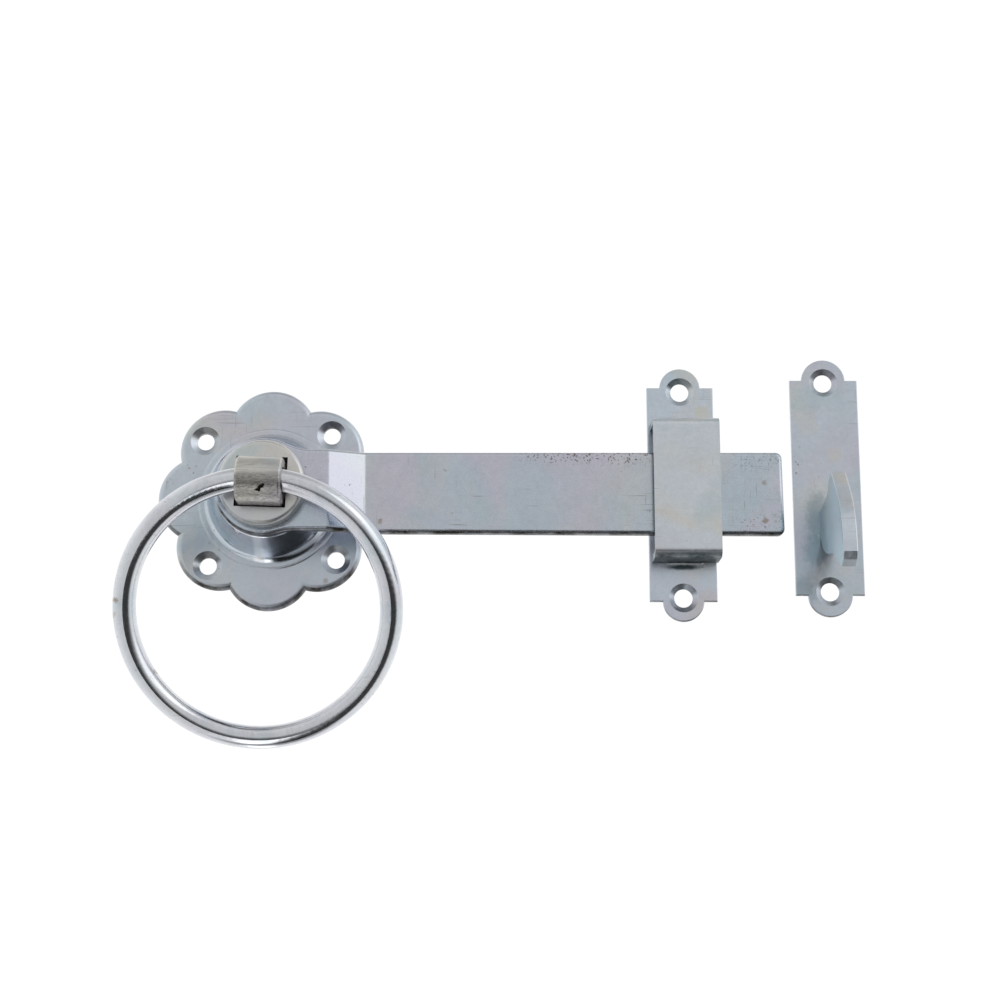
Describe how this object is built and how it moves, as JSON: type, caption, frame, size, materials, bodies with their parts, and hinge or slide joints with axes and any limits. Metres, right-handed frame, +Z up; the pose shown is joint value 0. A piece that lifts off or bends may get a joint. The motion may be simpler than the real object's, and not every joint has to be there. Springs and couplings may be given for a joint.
{
  "type": "gravity gate latch",
  "caption": "Gravity gate latch: a cranked bar on a lobed rose, lifted by a hanging pull ring, runs under a guide bridge and drops into a hooked catch.",
  "frame": {"origin": "where the spindle axis meets the gate's face, at the back of the rose; the gate and post faces are the plane y = 0", "axes": "+X from the spindle along the bar towards its tip, +Z up when the latch is fitted, -Y out of the gate towards the user"},
  "size_m": [0.2158, 0.0364, 0.1158],
  "materials": {
    "zinc_sheet": "bright zinc plating on pressed sheet, satin, faint blue and straw clouding",
    "zinc_bar": "bright zinc plating on steel strip, satin with fine scratches",
    "zinc_warm": "zinc plating with a warm grey cast",
    "zinc_dull": "dull worn zinc plating with pits",
    "zinc_ring": "bright zinc plating on drawn round bar, glossy"
  },
  "bodies": {
    "fixed": {"rose_plate": "zinc_sheet", "guide_plate": "zinc_sheet", "guide_bridge": "zinc_bar", "catch_plate": "zinc_sheet", "catch_hook": "zinc_sheet"},
    "latch": {"latch_bar": "zinc_bar", "boss_collar": "zinc_warm", "spindle_strap": "zinc_dull", "retaining_washer": "zinc_warm"},
    "ring": {"ring_handle": "zinc_ring"}
  },
  "joints": [
    {"name": "latch_turn", "type": "hinge", "parent": "fixed", "child": "latch", "pos_m": [0, 0, 0.0004], "axis": [0, -1, 0], "range_deg": [-2.1, 3.3]},
    {"name": "ring_swing", "type": "hinge", "parent": "latch", "child": "ring", "pos_m": [0.0002, -0.0299, 0], "axis": [-0.9995, 0, 0.0314], "range_deg": [0, 220]}
  ]
}
